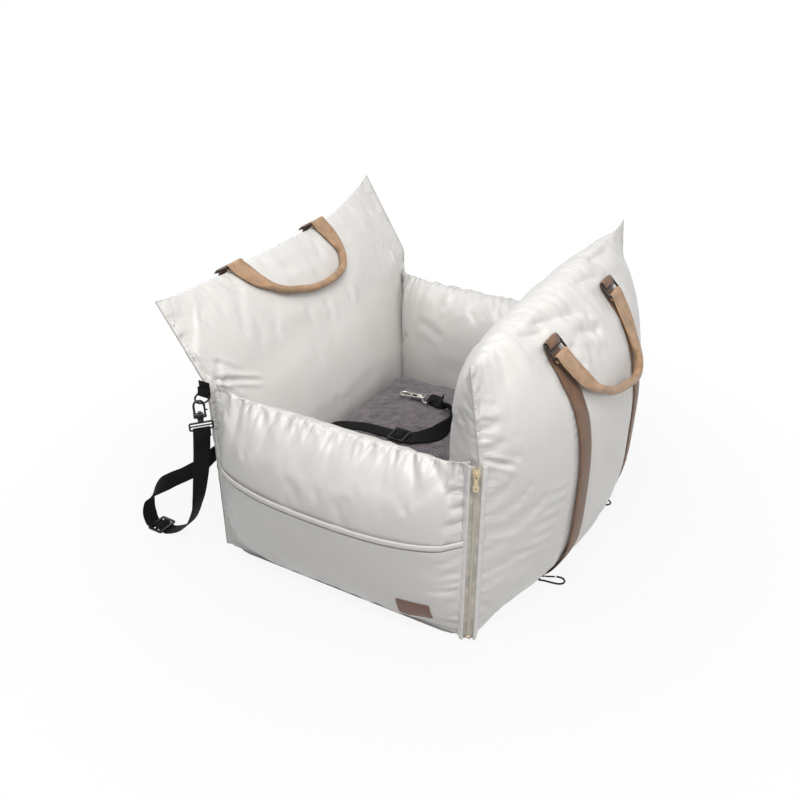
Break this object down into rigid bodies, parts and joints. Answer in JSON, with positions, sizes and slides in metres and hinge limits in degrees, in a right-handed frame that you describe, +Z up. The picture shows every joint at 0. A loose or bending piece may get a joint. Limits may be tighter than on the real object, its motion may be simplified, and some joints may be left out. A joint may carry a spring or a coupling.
{
  "type": "pet travel bed",
  "caption": "Stuffed pet travel bed with low front and back walls, tall side walls, carry handles, a corner zip, an outer pocket, a plush pad and clip-on tethers.",
  "frame": {"origin": "centre of the flat underside of the base panel", "axes": "+Z up; the low wall with the pocket faces -Y; the tall wall with the handle outside is at +X, the one with the handle inside is at -X"},
  "size_m": [0.7279, 0.6968, 0.462],
  "materials": {
    "shell_cloth": "satin",
    "plush": "matte",
    "panel_cloth": "matte",
    "label_leather": "matte",
    "zip_tape": "matte",
    "zip_metal": "satin",
    "brown_strap": "satin",
    "tan_webbing": "satin",
    "black_webbing": "matte",
    "black_metal": "satin",
    "black_plastic": "satin",
    "chrome": "polished"
  },
  "bodies": {
    "bed": {"back_wall_cushion": "shell_cloth", "base_panel": "panel_cloth", "belt_adjuster": "black_plastic", "belt_tab": "black_webbing", "belt_webbing": "black_webbing", "floor_cushion": "panel_cloth", "front_wall_cushion": "shell_cloth", "label_patch": "label_leather", "left_front_hook_loop": "black_webbing", "left_front_strap": "brown_strap", "left_rear_hook_loop": "black_webbing", "left_rear_strap": "brown_strap", "left_wall_cushion": "shell_cloth", "pocket_hem": "shell_cloth", "pocket_panel": "shell_cloth", "right_front_hook_loop": "black_webbing", "right_front_strap": "brown_strap", "right_rear_hook_loop": "black_webbing", "right_rear_strap": "brown_strap", "right_wall_cushion": "shell_cloth", "seat_pad": "plush", "tether_adjuster": "black_plastic", "tether_webbing": "black_webbing", "zip_stop": "zip_metal", "zip_tape_front": "zip_tape", "zip_tape_side": "zip_tape", "zip_teeth": "zip_tape"},
    "right_front_buckle": {"right_front_buckle": "black_metal"},
    "right_rear_buckle": {"right_rear_buckle": "black_metal"},
    "right_handle": {"right_handle": "tan_webbing"},
    "left_front_buckle": {"left_front_buckle": "black_metal"},
    "left_rear_buckle": {"left_rear_buckle": "black_metal"},
    "left_handle": {"left_handle": "tan_webbing"},
    "zip_slider": {"zip_slider": "zip_metal"},
    "zip_pull": {"zip_pull": "zip_metal"},
    "belt_d_ring": {"belt_d_ring": "black_metal"},
    "belt_hook": {"belt_hook_body": "black_metal"},
    "belt_hook_gate": {"belt_hook_gate": "black_metal"},
    "belt_swivel": {"belt_swivel": "black_metal"},
    "snap_eye": {"snap_eye": "chrome"},
    "snap": {"snap_body": "chrome"},
    "snap_bolt": {"snap_bolt": "chrome"},
    "right_front_hook": {"right_front_hook_body": "black_metal"},
    "right_front_hook_gate": {"right_front_hook_gate": "black_metal"},
    "right_rear_hook": {"right_rear_hook_body": "black_metal"},
    "right_rear_hook_gate": {"right_rear_hook_gate": "black_metal"},
    "left_front_hook": {"left_front_hook_body": "black_metal"},
    "left_front_hook_gate": {"left_front_hook_gate": "black_metal"},
    "left_rear_hook": {"left_rear_hook_body": "black_metal"},
    "left_rear_hook_gate": {"left_rear_hook_gate": "black_metal"}
  },
  "joints": [
    {"name": "right_front_buckle_swing", "type": "hinge", "parent": "bed", "child": "right_front_buckle", "pos_m": [0.24399, -0.121, 0.42025], "axis": [0, -1, 0], "range_deg": [0, 100]},
    {"name": "right_rear_buckle_swing", "type": "hinge", "parent": "bed", "child": "right_rear_buckle", "pos_m": [0.24399, 0.121, 0.42025], "axis": [0, -1, 0], "range_deg": [0, 100]},
    {"name": "right_handle_swing", "type": "hinge", "parent": "right_front_buckle", "child": "right_handle", "pos_m": [0.26074, -0.121, 0.40306], "axis": [0, -1, 0], "range_deg": [0, 60]},
    {"name": "left_front_buckle_swing", "type": "hinge", "parent": "bed", "child": "left_front_buckle", "pos_m": [-0.32762, -0.121, 0.41384], "axis": [0, -1, 0], "range_deg": [0, 100]},
    {"name": "left_rear_buckle_swing", "type": "hinge", "parent": "bed", "child": "left_rear_buckle", "pos_m": [-0.32762, 0.121, 0.41384], "axis": [0, -1, 0], "range_deg": [0, 100]},
    {"name": "left_handle_swing", "type": "hinge", "parent": "left_front_buckle", "child": "left_handle", "pos_m": [-0.30673, -0.121, 0.42566], "axis": [0, -1, 0], "range_deg": [0, 60]},
    {"name": "zip_slide", "type": "slide", "parent": "bed", "child": "zip_slider", "axis": [0, 0, -1], "range_m": [0, 0.281]},
    {"name": "zip_pull_swing", "type": "hinge", "parent": "zip_slider", "child": "zip_pull", "pos_m": [0.22563, -0.31167, 0.3016], "axis": [-0.891, -0.454, 0], "range_deg": [0, 150]},
    {"name": "d_ring_swing", "type": "hinge", "parent": "bed", "child": "belt_d_ring", "pos_m": [-0.23, -0.3103, 0.294], "axis": [-1, 0, 0], "range_deg": [0, 35], "deforming": ["belt_webbing"]},
    {"name": "belt_hook_swing", "type": "hinge", "parent": "belt_d_ring", "child": "belt_hook", "pos_m": [-0.23, -0.32492, 0.28749], "axis": [-1, 0, 0], "range_deg": [0, 50], "deforming": ["belt_webbing"]},
    {"name": "belt_gate_swing", "type": "hinge", "parent": "belt_hook", "child": "belt_hook_gate", "pos_m": [-0.22465, -0.31897, 0.26869], "axis": [0.7431, -0.6691, 0], "range_deg": [0, 20], "stiffness_Nm_per_rad": 0.012},
    {"name": "belt_swivel_spin", "type": "hinge", "parent": "belt_hook", "child": "belt_swivel", "pos_m": [-0.23, -0.32492, 0.28749], "axis": [0, 0, 1], "continuous": true, "deforming": ["belt_webbing"]},
    {"name": "right_front_hook_lift", "type": "hinge", "parent": "bed", "child": "right_front_hook", "pos_m": [0.264, -0.128, 0.0035], "axis": [0.2924, -0.9563, 0], "range_deg": [0, 16]},
    {"name": "right_front_hook_gate_swing", "type": "hinge", "parent": "right_front_hook", "child": "right_front_hook_gate", "pos_m": [0.27173, -0.1201, 0.0035], "axis": [0, 0, -1], "range_deg": [0, 20], "stiffness_Nm_per_rad": 0.01},
    {"name": "right_rear_hook_lift", "type": "hinge", "parent": "bed", "child": "right_rear_hook", "pos_m": [0.264, 0.108, 0.0035], "axis": [0.342, -0.9397, 0], "range_deg": [0, 16]},
    {"name": "right_rear_hook_gate_swing", "type": "hinge", "parent": "right_rear_hook", "child": "right_rear_hook_gate", "pos_m": [0.2713, 0.1163, 0.0035], "axis": [0, 0, -1], "range_deg": [0, 20], "stiffness_Nm_per_rad": 0.01},
    {"name": "left_front_hook_lift", "type": "hinge", "parent": "bed", "child": "left_front_hook", "pos_m": [-0.264, -0.128, 0.0035], "axis": [-0.2079, 0.9781, 0], "range_deg": [0, 16]},
    {"name": "left_front_hook_gate_swing", "type": "hinge", "parent": "left_front_hook", "child": "left_front_hook_gate", "pos_m": [-0.27239, -0.1352, 0.0035], "axis": [0, 0, -1], "range_deg": [0, 20], "stiffness_Nm_per_rad": 0.01},
    {"name": "left_rear_hook_lift", "type": "hinge", "parent": "bed", "child": "left_rear_hook", "pos_m": [-0.264, 0.108, 0.0035], "axis": [0.2419, 0.9703, 0], "range_deg": [0, 16]},
    {"name": "left_rear_hook_gate_swing", "type": "hinge", "parent": "left_rear_hook", "child": "left_rear_hook_gate", "pos_m": [-0.27469, 0.1052, 0.0035], "axis": [0, 0, -1], "range_deg": [0, 20], "stiffness_Nm_per_rad": 0.01},
    {"name": "snap_lift", "type": "hinge", "parent": "bed", "child": "snap_eye", "pos_m": [-0.02259, 0.03714, 0.16974], "axis": [-0.1521, 0.9884, 0], "range_deg": [0, 60], "deforming": ["tether_webbing"]},
    {"name": "snap_turn", "type": "hinge", "parent": "snap_eye", "child": "snap", "pos_m": [-0.03, 0.036, 0.16974], "axis": [-0.9884, -0.1521, 0], "range_deg": [-20, 20]},
    {"name": "snap_bolt_slide", "type": "slide", "parent": "snap", "child": "snap_bolt", "axis": [0.9884, 0.1521, 0], "range_m": [0, 0.0065], "stiffness_N_per_m": 60}
  ],
  "couplings": [
    {"joint": "right_rear_buckle_swing", "follows": "right_front_buckle_swing", "ratio": 1},
    {"joint": "left_rear_buckle_swing", "follows": "left_front_buckle_swing", "ratio": 1}
  ]
}
